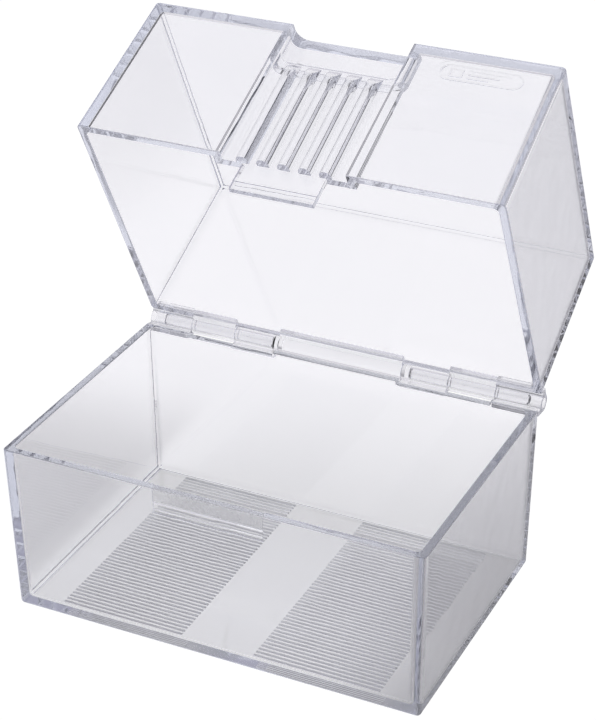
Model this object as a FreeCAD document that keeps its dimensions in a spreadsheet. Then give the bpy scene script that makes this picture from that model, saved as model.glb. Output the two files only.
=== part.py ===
import FreeCAD, Part
import math
import os
import Sketcher

# Clear card index box: an open tray and a lid of about the same height, hinged along the back
# edge on two pins. The origin is the centre of the tray's underside, +Z is up, -Y is the front
# and X is the width. The lid is drawn closed and its body is then turned open about the pins.

SIZES = [
    # the two shells
    ("outer_width", 116.0, "width across the rims"),
    ("outer_depth", 76.0, "depth across the rims"),
    ("tray_height", 47.6, "underside to parting plane"),
    ("lid_height", 46.3, "parting plane to top"),
    ("wall", 2.2, "wall, floor and top thickness"),
    ("draft", 1.1, "draft of every wall, degrees"),
    ("outer_radius", 1.2, "outside upright corners and edges of floor and top"),
    ("inner_radius", 1.3, "inside upright corners and edges of floor and top"),
    ("rim_radius", 0.3, "edges of both rims"),
    ("closed_gap", 0.1, "gap between the rims when closed"),
    # floor ribs that hold the cards' lower edges
    ("rib_pitch", 1.42, "front-to-back pitch of the floor ribs"),
    ("rib_width", 0.8, "floor rib width at its root"),
    ("rib_height", 0.5, "floor rib height"),
    ("rib_flank", 35.0, "slope of a rib's flanks from upright, degrees"),
    ("rib_count", 47, "floor ribs in each panel"),
    ("panel_inner", 10.15, "inner end of a ribbed panel from the middle"),
    ("panel_outer", 45.3, "outer end of a ribbed panel from the middle"),
    # catch inside the tray's front wall
    ("catch_half", 15.3, "half width of the catch recess"),
    ("catch_depth", 8.0, "height of the catch recess"),
    ("catch_relief", 0.5, "depth of the catch recess"),
    ("catch_first", 4.8, "upper catch ridge below the rim"),
    ("catch_first_height", 0.35, "height of the upper catch ridge"),
    ("catch_second", 6.65, "lower catch ridge below the rim"),
    ("catch_second_height", 0.2, "height of the lower catch ridge"),
    # hinge
    ("axis_offset", 3.5, "pin axis behind the back wall"),
    ("barrel_radius", 2.4, "hinge knuckle outside radius"),
    ("pin_radius", 1.4, "hinge pin radius"),
    ("running_gap", 0.05, "radial clearance of a pin in the lid's knuckle"),
    ("push_gap", 0.03, "radial clearance of a pin in the tray's knuckles"),
    ("knuckle_gap", 0.2, "gap between neighbouring knuckles"),
    ("zone_inner", 18.3, "end of the lid's middle bar"),
    ("zone_middle", 31.7, "boundary of the tray's inner and the lid's knuckle"),
    ("zone_outer", 45.1, "boundary of the lid's and the tray's outer knuckle"),
    ("pin_inner", 20.3, "inner end of a pin and its bore"),
    ("pin_outer", 54.2, "outer end of a pin"),
    ("web_drop", 2.0, "root of a knuckle's web from the parting plane"),
    ("rim_notch", 1.0, "lowered back rim behind the knuckles"),
    ("open_angle", 63.8, "lid angle on its stop, degrees"),
    ("stop_start", 1.0, "near end of the stop flat along the lid's back"),
    ("stop_end", 2.4, "far end of the stop flat along the lid's back"),
    ("stop_gap", 0.03, "clearance of the lid from its stop"),
    # grip channel in the lid's front wall
    ("channel_half", 17.0, "half width of the grip channel"),
    ("channel_depth", 2.65, "depth of the grip channel"),
    ("channel_wall", 2.0, "thickness of the channel's floor and sides"),
    ("grip_pitch", 5.65, "pitch of the grip ribs"),
    ("grip_half", 1.7, "half width of a grip rib"),
    ("grip_height", 2.4, "height of a grip rib above the channel floor"),
    ("grip_length", 33.6, "length of the grip ribs from the lid's rim"),
    ("grip_runout", 4.0, "length over which a grip rib slopes away"),
    # finger pocket at the top of the channel
    ("pocket_start", 34.3, "pocket's ledge above the lid's rim"),
    ("pocket_depth", 6.9, "pocket depth behind the front face"),
    ("pocket_radius", 3.6, "pocket's upright inside corners"),
    ("ledge_radius", 3.2, "pocket's lower inside edge"),
    # latch tongue
    ("tongue_half", 11.4, "half width of the latch tongue"),
    ("tongue_length", 8.4, "length of the latch tongue below the rim"),
    ("tongue_bead", 5.9, "bead on the tongue below the rim"),
    ("bead_height", 0.2, "height of the tongue's bead"),
    ("bead_tip", 0.1, "length of the bead's steep lower flank"),
    ("bead_crest", 0.15, "length of the bead's crest"),
    ("bead_slope", 1.2, "length from the bead's crest to its upper end"),
    ("tongue_chamfer", 0.6, "chamfer of the tongue's tip"),
    # raised badge with a generic card sign on the lid's front wall
    ("mark_x", 37.8, "middle of the badge from the lid's middle"),
    ("mark_z", 37.9, "middle of the badge above the lid's rim"),
    ("mark_width", 24.8, "badge width"),
    ("mark_height", 7.8, "badge height"),
    ("mark_margin", 1.4, "plain edge of the badge around its ring"),
    ("mark_line", 0.4, "width of the raised lines"),
    ("mark_relief", 0.15, "height of the badge, and of the lines on it"),
    ("sign_width", 3.6, "width of the card sign"),
    ("sign_height", 2.6, "height of the card sign"),
    ("sign_offset", 6.6, "middle of the card sign from the badge's middle"),
    ("lines_start", -3.4, "start of the three record lines from the badge's middle"),
    ("lines_length", 11.0, "length of the longest record line"),
    ("lines_pitch", 1.1, "pitch of the record lines"),
]

doc = FreeCAD.newDocument("card_index_box")
sheet = doc.addObject("Spreadsheet::Sheet", "sizes")
for row, (alias, size, note) in enumerate(SIZES, 1):
    sheet.set(f"A{row}", alias)
    sheet.set(f"B{row}", str(size))
    sheet.setAlias(f"B{row}", alias)
    sheet.set(f"C{row}", note)
doc.recompute()

# Expressions that several features share.
HALF_WIDTH = "sizes.outer_width / 2"
HALF_DEPTH = "sizes.outer_depth / 2"
RIM = "sizes.tray_height"
LID_RIM = "(sizes.tray_height + sizes.closed_gap)"
LID_TOP = "(sizes.tray_height + sizes.lid_height)"
AXIS_Y = "(sizes.outer_depth / 2 + sizes.axis_offset)"
CHANNEL_Y = "(sizes.channel_depth - sizes.outer_depth / 2)"
SINK = 0.6       # how far an added feature starts inside the wall that it grows from
OVERRUN = 2.0    # how far a cut starts outside the solid
SKIN = 0.05      # how far a fine feature starts inside the face that it stands on
SLIVER = 0.1     # how far a sloping cut passes the surface that it ends on
NEAR = 0.01      # tolerance for picking an edge by its place
LINE_SHARES = (1.0, 0.75, 0.5)


reader = doc.addObject("App::FeaturePython", "sizes_reader")


def number(expression):
    """Value of an expression over the sheet, as a plain number."""
    return float(reader.evalExpression(str(expression)))


def new_body(name):
    body = doc.addObject("PartDesign::Body", name)
    body.Label = name
    return body


def origin_feature(body, role):
    """One of the body's origin planes or axes, such as XY_Plane or Y_Axis."""
    return next(feature for feature in body.Origin.OriginFeatures if feature.Role == role)


def new_sketch(body, name, role, offset="0"):
    """Sketch on one of the body's origin planes, moved along that plane's normal."""
    sketch = body.newObject("Sketcher::SketchObject", name)
    sketch.AttachmentSupport = [(origin_feature(body, role), "")]
    sketch.MapMode = "FlatFace"
    sketch.setExpression("AttachmentOffset.Base.z", str(offset))
    return sketch


def bind(sketch, tag, kind, element, point, expression):
    """Pins one coordinate of a point, measured from the sketch's origin."""
    index = sketch.addConstraint(
        Sketcher.Constraint(kind, -1, 1, element, point, number(expression)))
    sketch.renameConstraint(index, tag)
    sketch.setExpression("Constraints." + tag, str(expression))


def bind_radius(sketch, tag, element, expression):
    index = sketch.addConstraint(Sketcher.Constraint("Radius", element, number(expression)))
    sketch.renameConstraint(index, tag)
    sketch.setExpression("Constraints." + tag, str(expression))


def outline(sketch, tag, corners):
    """Closed polygon with each corner bound to a pair of expressions."""
    spots = [FreeCAD.Vector(number(x), number(y), 0) for x, y in corners]
    first = sketch.GeometryCount
    last = len(spots)
    for index in range(last):
        sketch.addGeometry(Part.LineSegment(spots[index], spots[(index + 1) % last]), False)
    for index in range(last):
        sketch.addConstraint(Sketcher.Constraint(
            "Coincident", first + index, 2, first + (index + 1) % last, 1))
    for index, (x, y) in enumerate(corners):
        bind(sketch, f"{tag}_{index}_x", "DistanceX", first + index, 1, x)
        bind(sketch, f"{tag}_{index}_y", "DistanceY", first + index, 1, y)


def rectangle(sketch, tag, low_x, low_y, high_x, high_y):
    outline(sketch, tag, [(low_x, low_y), (high_x, low_y), (high_x, high_y), (low_x, high_y)])


def circle(sketch, tag, x, y, radius):
    spot = FreeCAD.Vector(number(x), number(y), 0)
    index = sketch.addGeometry(
        Part.Circle(spot, FreeCAD.Vector(0, 0, 1), number(radius)), False)
    bind(sketch, tag + "_x", "DistanceX", index, 3, x)
    bind(sketch, tag + "_y", "DistanceY", index, 3, y)
    bind_radius(sketch, tag + "_radius", index, radius)


def rounded_bar(sketch, tag, middle, root, flank, half):
    """Profile with a flat root, two straight flanks and a half-round crest towards -y."""
    left = f"({middle}) - ({half})"
    right = f"({middle}) + ({half})"
    corner = [FreeCAD.Vector(number(x), number(y), 0)
              for x, y in ((left, flank), (left, root), (right, root), (right, flank))]
    centre = FreeCAD.Vector(number(middle), number(flank), 0)
    first = sketch.GeometryCount
    for index in range(3):
        sketch.addGeometry(Part.LineSegment(corner[index], corner[index + 1]), False)
    round_top = Part.Circle(centre, FreeCAD.Vector(0, 0, 1), number(half))
    sketch.addGeometry(Part.ArcOfCircle(round_top, math.pi, 2 * math.pi), False)
    sketch.addConstraint(Sketcher.Constraint("Coincident", first, 2, first + 1, 1))
    sketch.addConstraint(Sketcher.Constraint("Coincident", first + 1, 2, first + 2, 1))
    sketch.addConstraint(Sketcher.Constraint("Coincident", first + 3, 1, first, 1))
    sketch.addConstraint(Sketcher.Constraint("Coincident", first + 3, 2, first + 2, 2))
    bind(sketch, tag + "_middle", "DistanceX", first + 3, 3, middle)
    bind(sketch, tag + "_flank", "DistanceY", first + 3, 3, flank)
    bind(sketch, tag + "_left", "DistanceX", first + 1, 1, left)
    bind(sketch, tag + "_root", "DistanceY", first + 1, 1, root)
    bind(sketch, tag + "_right", "DistanceX", first + 1, 2, right)
    bind(sketch, tag + "_back", "DistanceY", first + 1, 2, root)
    bind(sketch, tag + "_start", "DistanceY", first + 3, 1, flank)
    bind(sketch, tag + "_end", "DistanceY", first + 3, 2, flank)
    bind_radius(sketch, tag + "_half", first + 3, half)


def stadium(sketch, tag, x, y, width, height):
    """Closed outline around a middle point, with straight long sides and half-round ends."""
    radius = f"({height}) / 2"
    left = f"({x}) - ({width}) / 2 + {radius}"
    right = f"({x}) + ({width}) / 2 - {radius}"
    low = number(y) - number(radius)
    high = number(y) + number(radius)
    first = sketch.GeometryCount
    for start, end, level_y in ((left, right, low), (right, left, high)):
        sketch.addGeometry(Part.LineSegment(
            FreeCAD.Vector(number(start), level_y, 0),
            FreeCAD.Vector(number(end), level_y, 0)), False)
    for middle, start_angle in ((right, -math.pi / 2), (left, math.pi / 2)):
        centre = FreeCAD.Vector(number(middle), number(y), 0)
        round_end = Part.Circle(centre, FreeCAD.Vector(0, 0, 1), number(radius))
        sketch.addGeometry(
            Part.ArcOfCircle(round_end, start_angle, start_angle + math.pi), False)
    joins = ((0, 2, 2, 1), (2, 2, 1, 1), (1, 2, 3, 1), (3, 2, 0, 1))
    for element, point, other, other_point in joins:
        sketch.addConstraint(Sketcher.Constraint(
            "Coincident", first + element, point, first + other, other_point))
    bind(sketch, tag + "_low_left", "DistanceX", first, 1, left)
    bind(sketch, tag + "_low_right", "DistanceX", first, 2, right)
    bind(sketch, tag + "_high_right", "DistanceX", first + 1, 1, right)
    bind(sketch, tag + "_high_left", "DistanceX", first + 1, 2, left)
    for side, element, middle in (("right", first + 2, right), ("left", first + 3, left)):
        bind(sketch, f"{tag}_{side}_x", "DistanceX", element, 3, middle)
        bind(sketch, f"{tag}_{side}_y", "DistanceY", element, 3, y)
        bind_radius(sketch, f"{tag}_{side}_radius", element, radius)


def swept(body, kind, name, sketch, length, reverse=False, taper="0", midplane=False):
    """Pad or Pocket of a sketch; the body's volume has to grow or shrink as it should."""
    before = body.Shape.Volume if body.Tip else 0.0
    feature = body.newObject("PartDesign::" + kind, name)
    feature.Profile = sketch
    feature.setExpression("Length", str(length))
    feature.setExpression("TaperAngle", str(taper))
    feature.Reversed = reverse
    feature.Midplane = midplane
    doc.recompute()
    change = feature.Shape.Volume - before
    if change * (1 if kind == "Pad" else -1) <= 0:
        raise RuntimeError(f"{name} changes the volume by {change:.3f} mm3")
    return feature


def pad(body, name, sketch, length, **options):
    return swept(body, "Pad", name, sketch, length, **options)


def pocket(body, name, sketch, length, **options):
    return swept(body, "Pocket", name, sketch, length, **options)


def rounded(body, name, radius, wanted, kind="Fillet"):
    """Fillet or chamfer on the edges of the body that the test picks."""
    base = body.Tip
    picked = [f"Edge{index}" for index, edge in enumerate(base.Shape.Edges, 1) if wanted(edge)]
    if not picked:
        raise RuntimeError(f"{name} finds no edge")
    feature = body.newObject("PartDesign::" + kind, name)
    feature.Base = (base, picked)
    feature.setExpression("Radius" if kind == "Fillet" else "Size", str(radius))
    doc.recompute()
    return feature


def mirrored(body, name, originals):
    """Copies features to the other side of the middle plane X = 0."""
    feature = body.newObject("PartDesign::Mirrored", name)
    feature.Originals = originals
    feature.MirrorPlane = (origin_feature(body, "YZ_Plane"), [""])
    body.Tip = feature
    doc.recompute()
    return feature


def middle_of(edge):
    return edge.valueAt((edge.FirstParameter + edge.LastParameter) / 2)


def upright(edge):
    box = edge.BoundBox
    return box.ZLength > 10 * max(box.XLength, box.YLength, NEAR)


def level(edge, height):
    box = edge.BoundBox
    return abs(box.ZMin - height) < NEAR and abs(box.ZMax - height) < NEAR


def inside_walls(edge):
    """True for an edge on the inner side of the four walls."""
    spot = middle_of(edge)
    limit_x = number(f"{HALF_WIDTH} - 0.8 * sizes.wall")
    limit_y = number(f"{HALF_DEPTH} - 0.8 * sizes.wall")
    return abs(spot.x) < limit_x and abs(spot.y) < limit_y


def shell(body, end, rim, into_end):
    """Four drafted walls and an end plate: the block, its rounded edges, then the cavity.

    end is the height of the closed end, rim the height of the open one, and into_end is True
    where the closed end lies below the rim.
    """
    end_z = number(end)
    rim_z = number(rim)
    block = new_sketch(body, body.Name + "_rim_outline", "XY_Plane", rim)
    rectangle(block, "rim", f"-{HALF_WIDTH}", f"-{HALF_DEPTH}", HALF_WIDTH, HALF_DEPTH)
    height = f"abs({rim} - {end})"
    pad(body, body.Name + "_block", block, height, reverse=into_end, taper="-sizes.draft")
    rounded(body, body.Name + "_outer_edges", "sizes.outer_radius",
            lambda edge: upright(edge) or level(edge, end_z))
    hollow = new_sketch(body, body.Name + "_cavity_outline", "XY_Plane", rim)
    across = f"{HALF_WIDTH} - sizes.wall"
    along = f"{HALF_DEPTH} - sizes.wall"
    rectangle(hollow, "cavity", f"-({across})", f"-({along})", across, along)
    pocket(body, body.Name + "_cavity", hollow, f"{height} - sizes.wall",
           reverse=not into_end, taper="-sizes.draft")
    plate_z = end_z + math.copysign(number("sizes.wall"), rim_z - end_z)
    rounded(body, body.Name + "_inner_edges", "sizes.inner_radius",
            lambda edge: upright(edge) and inside_walls(edge) or level(edge, plate_z))
    rounded(body, body.Name + "_rim_edges", "sizes.rim_radius", lambda edge: level(edge, rim_z))


def knuckle(body, name, low_x, high_x, webs):
    """Hinge barrel along X with a web to the wall; webs gives the web's corner expressions."""
    start = f"{low_x} + sizes.knuckle_gap / 2"
    length = f"{high_x} - {low_x} - sizes.knuckle_gap"
    web = new_sketch(body, name + "_web_outline", "YZ_Plane", start)
    outline(web, "web", webs)
    web_pad = pad(body, name + "_web", web, length)
    barrel = new_sketch(body, name + "_barrel_outline", "YZ_Plane", start)
    circle(barrel, "barrel", AXIS_Y, RIM, "sizes.barrel_radius")
    barrel_pad = pad(body, name + "_barrel", barrel, length)
    return [web_pad, barrel_pad]


def pin_bores(body, radius):
    """Bore for the pin through the right-hand knuckles, and its mirror image."""
    bore = new_sketch(body, body.Name + "_bore_outline", "YZ_Plane", "sizes.pin_inner")
    circle(bore, "bore", AXIS_Y, RIM, radius)
    right = pocket(body, body.Name + "_bore", bore,
                   f"{HALF_WIDTH} - sizes.pin_inner + {OVERRUN}", reverse=True)
    mirrored(body, body.Name + "_bores", [right])


def floor_ribs(body):
    """Two panels of fine ribs across the floor, made as one row and its copies to the back."""
    first = new_sketch(body, "rib_row_outline", "XY_Plane", f"sizes.wall - {SKIN}")
    span = "(sizes.rib_count - 1) * sizes.rib_pitch"
    low = f"-({span}) / 2 - sizes.rib_width / 2"
    high = f"-({span}) / 2 + sizes.rib_width / 2"
    rectangle(first, "right", "sizes.panel_inner", low, "sizes.panel_outer", high)
    rectangle(first, "left", "-sizes.panel_outer", low, "-sizes.panel_inner", high)
    row = pad(body, "rib_row", first, f"sizes.rib_height + {SKIN}", taper="-sizes.rib_flank")
    rows = body.newObject("PartDesign::LinearPattern", "rib_rows")
    rows.Originals = [row]
    rows.Direction = (origin_feature(body, "Y_Axis"), [""])
    rows.setExpression("Length", span)
    rows.setExpression("Occurrences", "sizes.rib_count")
    body.Tip = rows
    doc.recompute()


def catch_ridge(body, name, drop, height):
    """Small triangular ridge across the catch recess, a given distance below the rim."""
    lean = f"({drop}) * tan(sizes.draft)"
    face = f"(sizes.wall - sizes.catch_relief - {HALF_DEPTH} + {lean})"
    profile = new_sketch(body, name + "_outline", "YZ_Plane")
    outline(profile, "ridge", [
        (f"{face} - {SINK}", f"{RIM} - {drop} - {height} - {SINK}"),
        (f"{face} + {height}", f"{RIM} - {drop}"),
        (f"{face} - {SINK}", f"{RIM} - {drop} + {height} + {SINK}"),
    ])
    pad(body, name, profile, "2 * sizes.catch_half", midplane=True)


def build_tray():
    body = new_body("base_tray")
    shell(body, "0", RIM, into_end=True)
    floor_ribs(body)

    recess = new_sketch(body, "catch_outline", "XY_Plane", f"{RIM} + {OVERRUN}")
    rectangle(recess, "recess", "-sizes.catch_half",
              f"sizes.wall - sizes.catch_relief - {HALF_DEPTH}", "sizes.catch_half",
              f"sizes.wall - {HALF_DEPTH} + {SINK}")
    pocket(body, "catch_recess", recess, f"sizes.catch_depth + {OVERRUN}",
           taper="-sizes.draft")
    catch_ridge(body, "upper_catch", "sizes.catch_first", "sizes.catch_first_height")
    catch_ridge(body, "lower_catch", "sizes.catch_second", "sizes.catch_second_height")

    notch = new_sketch(body, "notch_outline", "XY_Plane", f"{RIM} + {OVERRUN}")
    for tag, low, high in (("right", "sizes.zone_inner", "sizes.zone_outer"),
                           ("left", "-sizes.zone_outer", "-sizes.zone_inner")):
        rectangle(notch, tag, low, f"{HALF_DEPTH} - sizes.wall - {OVERRUN}",
                  high, f"{HALF_DEPTH} + {OVERRUN}")
    pocket(body, "rim_notches", notch, f"sizes.rim_notch + {OVERRUN}")

    root = f"({HALF_DEPTH} - {SINK})"
    inner_web = [
        (root, f"{RIM} - sizes.rim_notch"),
        (AXIS_Y, f"{RIM} - sizes.rim_notch"),
        (AXIS_Y, f"{RIM} - sizes.barrel_radius"),
        (root, f"{RIM} - sizes.web_drop"),
    ]
    # The outer knuckles carry the stop: a lug whose flat meets the open lid's back wall.
    tilt = "(90 - sizes.open_angle + sizes.draft)"
    flat_y = (f"({AXIS_Y} - sizes.axis_offset * cos(sizes.open_angle)"
              f" + sizes.stop_gap * sin({tilt}))")
    flat_z = (f"({RIM} + sizes.axis_offset * sin(sizes.open_angle)"
              f" - sizes.stop_gap * cos({tilt}))")
    outer_web = [
        (root, f"{RIM} - {SINK}"),
        (f"{AXIS_Y} - sizes.barrel_radius / 2", f"{RIM} - {SINK}"),
        (f"{flat_y} + sizes.stop_start * cos({tilt})",
         f"{flat_z} + sizes.stop_start * sin({tilt})"),
        (f"{flat_y} + sizes.stop_end * cos({tilt})",
         f"{flat_z} + sizes.stop_end * sin({tilt})"),
        (f"{AXIS_Y} + sizes.barrel_radius", RIM),
        (AXIS_Y, f"{RIM} - sizes.barrel_radius"),
        (root, f"{RIM} - sizes.web_drop"),
    ]
    pads = knuckle(body, "inner_knuckle", "sizes.zone_inner", "sizes.zone_middle", inner_web)
    pads += knuckle(body, "outer_knuckle", "sizes.zone_outer",
                    f"({HALF_WIDTH} + sizes.knuckle_gap / 2)", outer_web)
    mirrored(body, "left_knuckles", pads)
    pin_bores(body, "sizes.pin_radius + sizes.push_gap")
    return body


def grip_channel(body):
    """Thickens the front wall inwards, then cuts the channel and the finger pocket into it."""
    block = new_sketch(body, "channel_block_outline", "XY_Plane", LID_RIM)
    outer = "sizes.channel_half + sizes.channel_wall"
    behind = f"{CHANNEL_Y} + sizes.channel_wall"
    front = f"sizes.wall / 2 - {HALF_DEPTH}"
    rectangle(block, "block", f"-({outer})", front, outer, behind)
    depth_up = f"{LID_TOP} - {LID_RIM} - sizes.wall / 2"
    pad(body, "channel_block", block, depth_up)

    deep = new_sketch(body, "pocket_block_outline", "XY_Plane",
                      f"{LID_RIM} + sizes.pocket_start - sizes.channel_wall")
    far = f"sizes.pocket_depth + sizes.channel_wall - {HALF_DEPTH}"
    rectangle(deep, "block", f"-({outer})", front, outer, far)
    pad(body, "pocket_block", deep,
        f"{LID_TOP} - {LID_RIM} - sizes.pocket_start + sizes.channel_wall - sizes.wall / 2")

    ledge_z = number(f"{LID_RIM} + sizes.pocket_start - sizes.channel_wall")
    block_y = number(far)
    rounded(body, "pocket_block_corners", "sizes.pocket_radius", lambda edge: (
        upright(edge) and abs(middle_of(edge).y - block_y) < NEAR))
    rounded(body, "pocket_block_edge", "sizes.ledge_radius", lambda edge: (
        level(edge, ledge_z) and middle_of(edge).y > number(behind) + NEAR))

    cut = new_sketch(body, "channel_outline", "XY_Plane", f"{LID_RIM} - {OVERRUN}")
    rectangle(cut, "channel", "-sizes.channel_half", f"-{HALF_DEPTH} - {OVERRUN}",
              "sizes.channel_half", CHANNEL_Y)
    pocket(body, "channel", cut, f"{LID_TOP} - {LID_RIM} + 2 * {OVERRUN}", reverse=True)

    hole = new_sketch(body, "pocket_outline", "XY_Plane", f"{LID_RIM} + sizes.pocket_start")
    rectangle(hole, "pocket", "-sizes.channel_half", f"-{HALF_DEPTH} - {OVERRUN}",
              "sizes.channel_half", f"sizes.pocket_depth - {HALF_DEPTH}")
    pocket(body, "finger_pocket", hole,
           f"{LID_TOP} - {LID_RIM} - sizes.pocket_start + {OVERRUN}", reverse=True)
    pocket_y = number(f"sizes.pocket_depth - {HALF_DEPTH}")
    shelf_z = number(f"{LID_RIM} + sizes.pocket_start")
    rounded(body, "pocket_corners", "sizes.pocket_radius", lambda edge: (
        upright(edge) and abs(middle_of(edge).y - pocket_y) < NEAR))
    rounded(body, "pocket_shelf", "sizes.ledge_radius", lambda edge: (
        level(edge, shelf_z) and middle_of(edge).y > number(CHANNEL_Y) + NEAR))


def grip_ribs(body):
    """Five half-round ribs up the channel floor, sloping away below the finger pocket."""
    ribs = new_sketch(body, "grip_outline", "XY_Plane", LID_RIM)
    flank = f"{CHANNEL_Y} - sizes.grip_height + sizes.grip_half"
    for place in range(-2, 3):
        tag = f"rib{place + 2}"
        rounded_bar(ribs, tag, f"{place} * sizes.grip_pitch", f"{CHANNEL_Y} + {SINK}",
                    flank, "sizes.grip_half")
    pad(body, "grip_ribs", ribs, "sizes.grip_length")
    slope = new_sketch(body, "grip_runout_outline", "YZ_Plane")
    top = f"{LID_RIM} + sizes.grip_length"
    crest = f"{CHANNEL_Y} - sizes.grip_height"
    outline(slope, "runout", [
        (f"{crest} - {SLIVER}", f"{top} - sizes.grip_runout"),
        (CHANNEL_Y, top),
        (CHANNEL_Y, f"{top} + {SLIVER}"),
        (f"{crest} - {SLIVER}", f"{top} + {SLIVER}"),
    ])
    pocket(body, "grip_runout", slope, f"2 * sizes.channel_half - {OVERRUN}",
           midplane=True)


def latch_tongue(body):
    """Tongue that continues the channel floor below the rim, with a bead on its front."""
    plate = new_sketch(body, "tongue_outline", "XY_Plane", f"{LID_RIM} + {SINK}")
    rectangle(plate, "tongue", "-sizes.tongue_half", CHANNEL_Y, "sizes.tongue_half",
              f"{CHANNEL_Y} + sizes.channel_wall")
    pad(body, "tongue", plate, f"sizes.tongue_length + {SINK}", reverse=True)
    tip_z = number(f"{LID_RIM} - sizes.tongue_length")
    back_y = number(f"{CHANNEL_Y} + sizes.channel_wall")
    rounded(body, "tongue_tip", "sizes.tongue_chamfer", lambda edge: (
        abs(middle_of(edge).y - back_y) < NEAR
        and (level(edge, tip_z) or upright(edge) and edge.BoundBox.ZMin < tip_z + NEAR)),
        kind="Chamfer")
    bead = new_sketch(body, "bead_outline", "YZ_Plane")
    drop = f"{LID_RIM} - sizes.tongue_bead"
    outline(bead, "bead", [
        (f"{CHANNEL_Y} + {SINK}", f"{drop} - sizes.bead_tip"),
        (f"{CHANNEL_Y} + {SINK}", f"{drop} + sizes.bead_slope"),
        (CHANNEL_Y, f"{drop} + sizes.bead_slope"),
        (f"{CHANNEL_Y} - sizes.bead_height", f"{drop} + sizes.bead_crest"),
        (f"{CHANNEL_Y} - sizes.bead_height", drop),
        (CHANNEL_Y, f"{drop} - sizes.bead_tip"),
    ])
    pad(body, "tongue_bead", bead, "2 * sizes.tongue_half", midplane=True)


def card_mark(body):
    """Flat badge on the lid's front face, with a ring, a card sign and three record lines."""
    lean = "(sizes.mark_z + sizes.mark_height / 2) * tan(sizes.draft)"
    face = f"({HALF_DEPTH} - {lean} + sizes.mark_relief)"
    middle_z = f"({LID_RIM} + sizes.mark_z)"
    plate = new_sketch(body, "badge_outline", "XZ_Plane", face)
    stadium(plate, "badge", "sizes.mark_x", middle_z, "sizes.mark_width", "sizes.mark_height")
    pad(body, "badge", plate, f"sizes.mark_relief + {SINK}", reverse=True)

    lines = new_sketch(body, "mark_outline", "XZ_Plane", f"{face} + sizes.mark_relief")
    for tag, inset in (("ring", "sizes.mark_margin"),
                       ("ring_hole", "(sizes.mark_margin + sizes.mark_line)")):
        stadium(lines, tag, "sizes.mark_x", middle_z,
                f"sizes.mark_width - 2 * {inset}", f"sizes.mark_height - 2 * {inset}")
    sign_x = "(sizes.mark_x - sizes.sign_offset)"
    for tag, inset in (("card", "0"), ("card_hole", "sizes.mark_line")):
        half_x = f"(sizes.sign_width / 2 - {inset})"
        half_z = f"(sizes.sign_height / 2 - {inset})"
        rectangle(lines, tag, f"{sign_x} - {half_x}", f"{middle_z} - {half_z}",
                  f"{sign_x} + {half_x}", f"{middle_z} + {half_z}")
    start = "(sizes.mark_x + sizes.lines_start)"
    for index, share in enumerate(LINE_SHARES):
        line_z = f"({middle_z} + {1 - index} * sizes.lines_pitch)"
        rectangle(lines, f"line{index}", start, f"{line_z} - sizes.mark_line / 2",
                  f"{start} + {share} * sizes.lines_length", f"{line_z} + sizes.mark_line / 2")
    pad(body, "mark", lines, f"sizes.mark_relief + {SKIN}", reverse=True)


def build_lid():
    body = new_body("lid_cover")
    shell(body, LID_TOP, LID_RIM, into_end=False)
    grip_channel(body)
    grip_ribs(body)
    latch_tongue(body)
    card_mark(body)

    root = f"({HALF_DEPTH} - {SINK})"
    web = [
        (root, LID_RIM),
        (AXIS_Y, LID_RIM),
        (AXIS_Y, f"{RIM} + sizes.barrel_radius"),
        (root, f"{RIM} + sizes.web_drop"),
    ]
    pads = knuckle(body, "lid_knuckle", "sizes.zone_middle", "sizes.zone_outer", web)
    mirrored(body, "left_lid_knuckle", pads)
    knuckle(body, "middle_bar", "-sizes.zone_inner", "sizes.zone_inner", web)
    pin_bores(body, "sizes.pin_radius + sizes.running_gap")

    hinge = FreeCAD.Vector(0, number(AXIS_Y), number(RIM))
    opening = FreeCAD.Rotation(FreeCAD.Vector(1, 0, 0), -number("sizes.open_angle"))
    body.Placement = FreeCAD.Placement(FreeCAD.Vector(0, 0, 0), opening, hinge)
    return body


def build_pin(name, start):
    """Plain rod with chamfered ends, from the given X towards +X."""
    body = new_body(name)
    profile = new_sketch(body, name + "_outline", "YZ_Plane", start)
    circle(profile, "rod", AXIS_Y, RIM, "sizes.pin_radius")
    pad(body, name + "_rod", profile, "sizes.pin_outer - sizes.pin_inner")
    rounded(body, name + "_ends", "sizes.rim_radius",
            lambda edge: edge.BoundBox.XLength < NEAR, kind="Chamfer")
    return body


parts = [
    build_tray(),
    build_lid(),
    build_pin("hinge_pin_left", "-sizes.pin_outer"),
    build_pin("hinge_pin_right", "sizes.pin_inner"),
]
doc.recompute()

for item in doc.Objects:
    if {"Invalid", "Error"} & set(item.State):
        raise RuntimeError(f"{item.Label} failed: {item.State}")
for item in parts:
    if item.Shape.isNull() or not item.Shape.isValid() or len(item.Shape.Solids) != 1:
        raise RuntimeError(f"{item.Label} isn't one valid solid")

os.makedirs("parts", exist_ok=True)
for item in parts:
    item.Shape.exportStep(f"parts/{item.Label}.step")
    box = item.Shape.optimalBoundingBox(False, False)
    print(f"{item.Label}: {item.Shape.Volume:.1f} mm3, X {box.XMin:.2f} to {box.XMax:.2f}, "
          f"Y {box.YMin:.2f} to {box.YMax:.2f}, Z {box.ZMin:.2f} to {box.ZMax:.2f}")
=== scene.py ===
import math

import bpy
from mathutils import Matrix, Vector


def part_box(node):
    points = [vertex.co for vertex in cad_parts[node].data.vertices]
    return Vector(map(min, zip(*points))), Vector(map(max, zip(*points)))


# Looks for a clear card index box that stands open. Lengths are in metres, in the row frame.

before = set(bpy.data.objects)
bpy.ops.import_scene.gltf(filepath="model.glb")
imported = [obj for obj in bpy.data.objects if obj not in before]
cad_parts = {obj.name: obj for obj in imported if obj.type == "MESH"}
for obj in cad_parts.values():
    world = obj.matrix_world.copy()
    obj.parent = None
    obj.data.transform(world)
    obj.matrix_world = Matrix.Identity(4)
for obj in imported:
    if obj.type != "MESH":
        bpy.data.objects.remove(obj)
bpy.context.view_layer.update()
scene = bpy.context.scene

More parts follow.
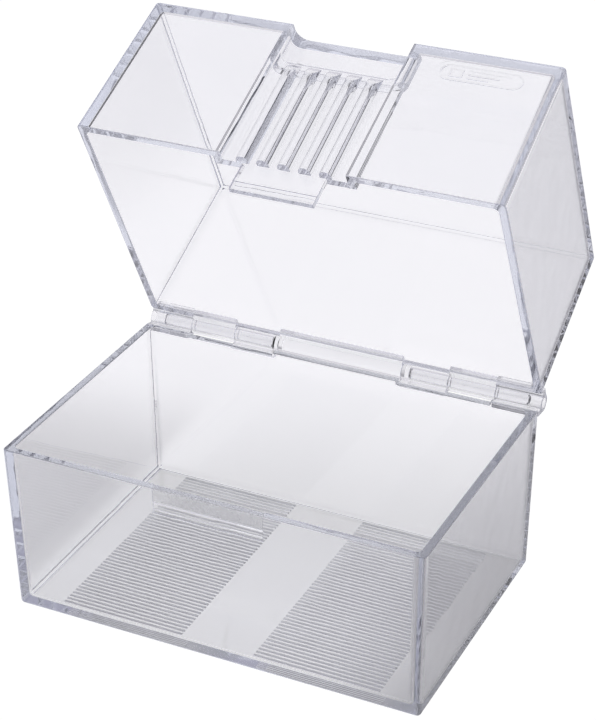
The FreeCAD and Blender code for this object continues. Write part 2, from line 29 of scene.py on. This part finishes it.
# Camera: a long lens from the front right, above the box.
LENS_MM = 107.9
AZIMUTH = math.radians(26.09)
ELEVATION = math.radians(28.98)
ROLL = math.radians(-0.60)
TARGET = Vector((-0.00205, 0.01854, 0.058))
DISTANCE = 0.5632

# Studio: a pale room with a bright ceiling. It is black high up at the front right, as if a dark
# curtain hung there, with a dim left front, a dark gap at the back left and a lamp above that.
HORIZON = (0.75, 0.735, 0.775, 1.0)
WALLS = (0.50, 0.485, 0.55, 1.0)
CEILING = (0.78, 0.765, 0.80, 1.0)
DIM_SIDE = (0.37, 0.37, 0.41, 1.0)
DIM_TOWARDS = math.radians(-60)
DIM_EDGE = (0.6, 0.95)
DIM_TOP = (0.80, 0.90)
DARK_SIDE = (0.015, 0.015, 0.02, 1.0)
DARK_TOWARDS = math.radians(30)
DARK_EDGE = (0.35, 0.60)
DARK_FOOT = (0.34, 0.46)
HORIZON_TOP = (0.32, 0.50)
CEILING_EDGE = (0.82, 0.90)
WINDOW_GAP = (0.02, 0.02, 0.03, 1.0)
WINDOW_GAP_TOWARDS = Vector((-0.80, 0.50, 0.33)).normalized()
WINDOW_GAP_EDGE = (0.89, 0.93)
SOFTBOX = (0.95, 0.94, 0.96, 1.0)
SOFTBOX_TOWARDS = Vector((-0.50, 0.30, 0.80)).normalized()
SOFTBOX_EDGE = (0.93, 0.98)

# Floor: white paper lit from below, less so at the left, and not at all to the right of the box
# until far out.
FLOOR_GAP = 0.0004
FLOOR_PAINT = 0.85
FLOOR_GLOW = 0.55
LEFT_SHADE = 0.27
FAR_SHADE = 0.08
LEFT_SHADE_X = (-0.066, -0.056)
LEFT_SHADE_Y = (0.03, 0.09)
GLOW_ENDS_X = (0.020, 0.085)
GLOW_BACK_X = (0.35, 0.8)
FLOOR_SIZE = 3.0
BACKGROUND = 1.03

# Clear plastic: colour along its edges, and the marks of use. The absorption fades out over
# TRAPPED_TURNS bounces, so that light trapped inside draws no dark lines.
EDGE_TINT = (0.52, 0.57, 0.74, 1)
EDGE_DENSITY = 10.0
TRAPPED_TURNS = (6, 16)
REFRACTION = 1.59
CLEAN_TINT = (0.992, 0.992, 0.996, 1)
HANDLED_TINT = (0.972, 0.972, 0.984, 1)
LIGHT_TURNS = 400
SMUDGE_ROUGHNESS = 0.015
SCRATCH_ROUGHNESS = 0.03
WAVE_HEIGHT = 0.00007

# Places on the two mouldings, from the frame and from the CAD model's sizes.
MM = 0.001
PIN_LOW, PIN_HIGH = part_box("hinge_pin_right")
AXIS = Vector((0, (PIN_LOW[1] + PIN_HIGH[1]) / 2, (PIN_LOW[2] + PIN_HIGH[2]) / 2))
OPEN_ANGLE = math.radians(63.8)
DRAFT = math.radians(1.1)
RIM = AXIS.z
RIM_BACK = 38.3 * MM
FRONT_FACE = -38.0 * MM


def add_camera():
    data = bpy.data.cameras.new("camera")
    camera = bpy.data.objects.new("camera", data)
    scene.collection.objects.link(camera)
    data.lens = LENS_MM
    data.sensor_width = 36.0
    data.clip_start = 0.01
    data.clip_end = 50.0
    back = Vector((math.sin(AZIMUTH) * math.cos(ELEVATION),
                   -math.cos(AZIMUTH) * math.cos(ELEVATION),
                   math.sin(ELEVATION)))
    right = Vector((0, 0, 1)).cross(back).normalized()
    upward = back.cross(right)
    turned_right = math.cos(ROLL) * right + math.sin(ROLL) * upward
    turned_up = math.cos(ROLL) * upward - math.sin(ROLL) * right
    place = Matrix((turned_right, turned_up, back)).transposed().to_4x4()
    place.translation = TARGET + back * DISTANCE
    camera.matrix_world = place
    scene.camera = camera


class Nodes:
    """Adds shader nodes to a tree and links them."""

    def __init__(self, tree):
        self.tree = tree

    def add(self, kind, settings=None, **inputs):
        node = self.tree.nodes.new(kind)
        for key, value in (settings or {}).items():
            setattr(node, key, value)
        for key, value in inputs.items():
            self.feed(node.inputs[key.replace("_", " ")], value)
        return node

    def feed(self, socket, value):
        if isinstance(value, bpy.types.NodeSocket):
            self.tree.links.new(value, socket)
        else:
            socket.default_value = value

    def maths(self, operation, *values):
        node = self.tree.nodes.new("ShaderNodeMath")
        node.operation = operation
        for socket, value in zip(node.inputs, values):
            self.feed(socket, value)
        return node.outputs[0]

    def ramp(self, value, low, high, to_low=0.0, to_high=1.0):
        """A smooth step from to_low at low to to_high at high."""
        node = self.add("ShaderNodeMapRange", {"interpolation_type": "SMOOTHSTEP"},
                        Value=value, From_Min=low, From_Max=high,
                        To_Min=to_low, To_Max=to_high)
        return node.outputs[0]

    def mix(self, factor, first, second):
        node = self.tree.nodes.new("ShaderNodeMix")
        node.data_type = "RGBA"
        self.feed(node.inputs["Factor"], factor)
        self.feed(node.inputs[6], first)
        self.feed(node.inputs[7], second)
        return node.outputs[2]


def new_material(name):
    material = bpy.data.materials.new(name)
    material.use_nodes = True
    material.node_tree.nodes.clear()
    nodes = Nodes(material.node_tree)
    output = nodes.add("ShaderNodeOutputMaterial")
    return material, nodes, output


def within(nodes, value, low, high, soft):
    """1 where the value is between low and high, with a soft edge on each side."""
    rise = nodes.ramp(value, low, low + soft)
    fall = nodes.ramp(value, high - soft, high, 1.0, 0.0)
    return nodes.maths("MULTIPLY", rise, fall)


def all_of(nodes, *masks):
    joined = masks[0]
    for mask in masks[1:]:
        joined = nodes.maths("MULTIPLY", joined, mask)
    return joined


def split(nodes, place):
    """X, Y and Z of a place."""
    return nodes.add("ShaderNodeSeparateXYZ", Vector=place).outputs


def tray_roughness(nodes, place):
    """Matt floor ribs and catch lead-in, and slightly worn rims."""
    x, y, z = split(nodes, place)
    side = nodes.maths("ABSOLUTE", x)
    depth = nodes.maths("ABSOLUTE", y)
    ribs = all_of(nodes, within(nodes, z, 2.22 * MM, 3.2 * MM, 0.02 * MM),
                  nodes.maths("LESS_THAN", side, 45.45 * MM),
                  nodes.maths("LESS_THAN", depth, 33.3 * MM))
    lead = all_of(nodes, within(nodes, z, RIM - 4.5 * MM, RIM - 0.2 * MM, 0.3 * MM),
                  nodes.maths("LESS_THAN", side, 15.2 * MM),
                  within(nodes, y, -36.7 * MM, -36.0 * MM, 0.05 * MM))
    rim = all_of(nodes, nodes.ramp(z, RIM - 0.25 * MM, RIM - 0.05 * MM),
                 nodes.maths("LESS_THAN", y, RIM_BACK))
    return ((ribs, 0.5), (lead, 0.28), (rim, 0.06))


def lid_roughness(nodes, place):
    """Slightly worn rim and tongue tip and a matt mark, in the places of the closed lid."""
    closed = nodes.add("ShaderNodeVectorRotate", {"rotation_type": "X_AXIS"},
                       Vector=place, Center=AXIS, Angle=OPEN_ANGLE).outputs[0]
    x, y, z = split(nodes, closed)
    rim = all_of(nodes, within(nodes, z, RIM - 0.1 * MM, RIM + 0.35 * MM, 0.1 * MM),
                 nodes.maths("LESS_THAN", y, RIM_BACK))
    tip = nodes.ramp(z, RIM - 8.0 * MM, RIM - 7.9 * MM, 1.0, 0.0)
    face = nodes.maths("MULTIPLY_ADD", z, math.tan(DRAFT), FRONT_FACE - RIM * math.tan(DRAFT))
    proud = nodes.maths("SUBTRACT", face, y)
    mark = nodes.ramp(proud, 0.18 * MM, 0.24 * MM)
    return ((rim, 0.06), (tip, 0.08), (mark, 0.3))


def rod_roughness(nodes, place):
    """Drawn rod with a faint silky surface."""
    return ((1.0, 0.04),)


def clear_plastic(name, worn_places):
    """Clear moulded plastic, bluish along its edges. worn_places gives its duller spots."""
    material, nodes, output = new_material(name)
    place = nodes.add("ShaderNodeTexCoord").outputs["Object"]

    handling = nodes.add("ShaderNodeTexNoise", Vector=place, Scale=38.0, Detail=5.0,
                         Roughness=0.62).outputs["Fac"]
    smudges = nodes.ramp(handling, 0.56, 0.74, 0.0, SMUDGE_ROUGHNESS)
    hairlines = scratches(nodes, place)
    roughness = nodes.maths("MAXIMUM", smudges, hairlines)
    grain = nodes.add("ShaderNodeTexNoise", Vector=place, Scale=900.0, Detail=3.0).outputs["Fac"]
    for mask, amount in worn_places(nodes, place):
        uneven = nodes.ramp(grain, 0.2, 0.8, 0.8 * amount, 1.2 * amount)
        worn = nodes.maths("MULTIPLY", mask, uneven)
        roughness = nodes.maths("MAXIMUM", roughness, worn)

    flow = nodes.add("ShaderNodeTexNoise", Vector=place, Scale=55.0, Detail=2.0).outputs["Fac"]
    waves = nodes.add("ShaderNodeBump", Height=flow, Strength=1.0, Distance=WAVE_HEIGHT)
    tint = nodes.mix(handling, CLEAN_TINT, HANDLED_TINT)
    surface = nodes.add("ShaderNodeBsdfPrincipled", Base_Color=tint, Roughness=roughness,
                        IOR=REFRACTION, Normal=waves.outputs[0])
    surface.inputs["Transmission Weight"].default_value = 1.0
    nodes.feed(output.inputs["Surface"], surface.outputs[0])
    turns = nodes.add("ShaderNodeLightPath").outputs["Ray Depth"]
    density = nodes.ramp(turns, *TRAPPED_TURNS, EDGE_DENSITY, 0.0)
    body = nodes.add("ShaderNodeVolumeAbsorption", Color=EDGE_TINT, Density=density)
    nodes.feed(output.inputs["Volume"], body.outputs[0])
    return material


def scratches(nodes, place):
    """A few faint hairlines from cards and hands, as roughness."""
    found = None
    for turn, stretch in ((0.5, (30, 30, 900)), (-0.9, (900, 40, 40))):
        spun = nodes.add("ShaderNodeVectorRotate", {"rotation_type": "Y_AXIS"},
                         Vector=place, Angle=turn).outputs[0]
        drawn = nodes.add("ShaderNodeVectorMath", {"operation": "MULTIPLY"})
        nodes.feed(drawn.inputs[0], spun)
        nodes.feed(drawn.inputs[1], stretch)
        line = nodes.add("ShaderNodeTexNoise", Vector=drawn.outputs[0], Scale=1.0,
                         Detail=1.0).outputs["Fac"]
        line = nodes.ramp(line, 0.70, 0.74, 0.0, SCRATCH_ROUGHNESS)
        found = line if found is None else nodes.maths("MAXIMUM", found, line)
    return found


def add_floor():
    size = FLOOR_SIZE
    z = -FLOOR_GAP
    mesh = bpy.data.meshes.new("floor")
    mesh.from_pydata([(-size, -size, z), (size, -size, z), (size, size, z), (-size, size, z)],
                     [], [(0, 1, 2, 3)])
    floor = bpy.data.objects.new("floor", mesh)
    scene.collection.objects.link(floor)
    material, nodes, output = new_material("floor_paper")
    place = nodes.add("ShaderNodeNewGeometry").outputs["Position"]
    x, y, _ = split(nodes, place)
    shade = nodes.maths("MULTIPLY", nodes.ramp(x, *LEFT_SHADE_X, LEFT_SHADE, 0.0),
                        nodes.ramp(y, *LEFT_SHADE_Y, 1.0, 0.0))
    near = nodes.maths("MULTIPLY", nodes.maths("SUBTRACT", FLOOR_GLOW, shade),
                       nodes.ramp(x, *GLOW_ENDS_X, 1.0, 0.0))
    far = nodes.ramp(x, *GLOW_BACK_X, 0.0, FLOOR_GLOW - FAR_SHADE)
    glow = nodes.maths("ADD", near, far)
    paper = nodes.add("ShaderNodeBsdfDiffuse", Color=(FLOOR_PAINT,) * 3 + (1,))
    lit = nodes.add("ShaderNodeEmission", Color=(1, 1, 1, 1), Strength=glow)
    both = nodes.add("ShaderNodeAddShader")
    nodes.feed(both.inputs[0], paper.outputs[0])
    nodes.feed(both.inputs[1], lit.outputs[0])
    white = nodes.add("ShaderNodeEmission", Color=(1, 1, 1, 1), Strength=BACKGROUND)
    seen = nodes.add("ShaderNodeLightPath").outputs["Is Camera Ray"]
    choice = nodes.add("ShaderNodeMixShader", Fac=seen)
    nodes.feed(choice.inputs[1], both.outputs[0])
    nodes.feed(choice.inputs[2], white.outputs[0])
    nodes.feed(output.inputs["Surface"], choice.outputs[0])
    material.cycles.emission_sampling = "NONE"
    mesh.materials.append(material)


def along(nodes, direction, target):
    """How far a direction points along a target direction: 1 to -1."""
    facing = nodes.add("ShaderNodeVectorMath", {"operation": "DOT_PRODUCT"})
    nodes.feed(facing.inputs[0], direction)
    nodes.feed(facing.inputs[1], target)
    return facing.outputs["Value"]


def towards(nodes, level, azimuth):
    """How far a level direction points towards an azimuth, 0 being the front: 1 to -1."""
    return along(nodes, level, (math.sin(azimuth), -math.cos(azimuth), 0))


def add_studio():
    world = bpy.data.worlds.new("studio")
    world.use_nodes = True
    nodes = Nodes(world.node_tree)
    direction = nodes.add("ShaderNodeTexCoord").outputs["Generated"]
    height = split(nodes, direction)["Z"]
    flat = nodes.add("ShaderNodeVectorMath", {"operation": "MULTIPLY"})
    nodes.feed(flat.inputs[0], direction)
    nodes.feed(flat.inputs[1], (1, 1, 0))
    level = nodes.add("ShaderNodeVectorMath", {"operation": "NORMALIZE"})
    nodes.feed(level.inputs[0], flat.outputs[0])
    room = nodes.mix(nodes.ramp(height, *HORIZON_TOP), HORIZON, WALLS)
    dim = nodes.ramp(towards(nodes, level.outputs[0], DIM_TOWARDS), *DIM_EDGE)
    dim = nodes.maths("MULTIPLY", dim, nodes.ramp(height, *DIM_TOP, 1.0, 0.0))
    room = nodes.mix(dim, room, DIM_SIDE)
    dark = nodes.ramp(towards(nodes, level.outputs[0], DARK_TOWARDS), *DARK_EDGE)
    dark = nodes.maths("MULTIPLY", dark, nodes.ramp(height, *DARK_FOOT))
    room = nodes.mix(dark, room, DARK_SIDE)
    room = nodes.mix(nodes.ramp(height, *CEILING_EDGE), room, CEILING)
    lamp = nodes.ramp(along(nodes, direction, SOFTBOX_TOWARDS), *SOFTBOX_EDGE)
    room = nodes.mix(lamp, room, SOFTBOX)
    gap = nodes.ramp(along(nodes, direction, WINDOW_GAP_TOWARDS), *WINDOW_GAP_EDGE)
    room = nodes.mix(gap, room, WINDOW_GAP)
    background = world.node_tree.nodes["Background"]
    nodes.feed(background.inputs["Color"], room)
    scene.world = world
    world.cycles.sampling_method = "NONE"


add_camera()
add_floor()
add_studio()
rod = clear_plastic("clear_rod", rod_roughness)
MATERIALS = {
    "base_tray": clear_plastic("clear_tray", tray_roughness),
    "lid_cover": clear_plastic("clear_lid", lid_roughness),
    "hinge_pin_left": rod,
    "hinge_pin_right": rod,
}
for name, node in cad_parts.items():
    node.data.materials.clear()
    node.data.materials.append(MATERIALS[name])
scene.view_settings.view_transform = "Standard"
scene.cycles.max_bounces = LIGHT_TURNS
scene.cycles.transmission_bounces = LIGHT_TURNS
scene.cycles.glossy_bounces = LIGHT_TURNS
